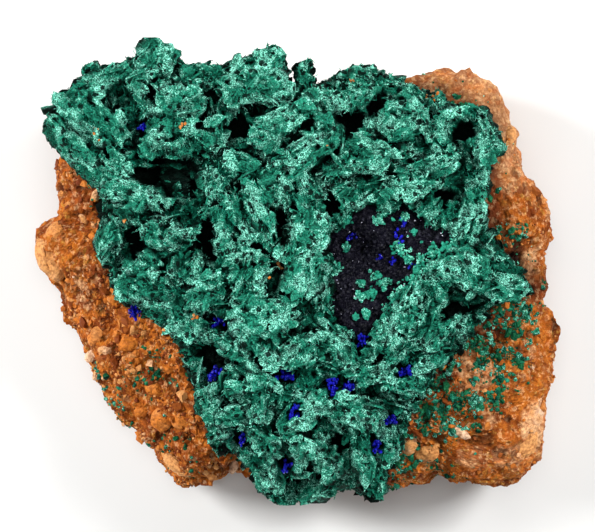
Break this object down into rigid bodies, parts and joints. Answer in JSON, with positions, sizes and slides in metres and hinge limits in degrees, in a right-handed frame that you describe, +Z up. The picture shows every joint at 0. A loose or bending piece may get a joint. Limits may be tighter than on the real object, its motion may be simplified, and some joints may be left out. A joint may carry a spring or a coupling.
{
  "type": "azurite and malachite specimen",
  "caption": "Hand specimen of bladed green malachite after azurite, with a near-black azurite druse and blue crystal clusters, on an orange iron-stained gossan block.",
  "frame": {"origin": "centre of the bounding box in plan, on the flat broken base that the specimen lies on", "axes": "+Z up out of the crystal crust, +X to the specimen's right and +Y to its head as it is displayed"},
  "size_m": [0.093, 0.0812, 0.0366],
  "materials": {
    "gossan": "rough, crumbly limonite-stained rock, orange to rust with paler cream rims",
    "malachite": "velvety drusy green plates, paler mint along their edges, near-black in the gaps",
    "azurite_druse": "glittering near-black navy microcrystals",
    "azurite": "glossy deep blue crystal faces"
  },
  "bodies": {
    "root": {"gossan_matrix": "gossan", "malachite_crust": "malachite", "malachite_patch_right": "malachite", "malachite_patch_lower": "malachite", "azurite_druse": "azurite_druse", "azurite_01": "azurite", "azurite_02": "azurite", "azurite_03": "azurite", "azurite_04": "azurite", "azurite_05": "azurite", "azurite_06": "azurite", "azurite_07": "azurite", "azurite_08": "azurite", "azurite_09": "azurite", "azurite_10": "azurite", "azurite_11": "azurite", "azurite_12": "azurite", "azurite_13": "azurite", "azurite_14": "azurite"}
  },
  "joints": []
}
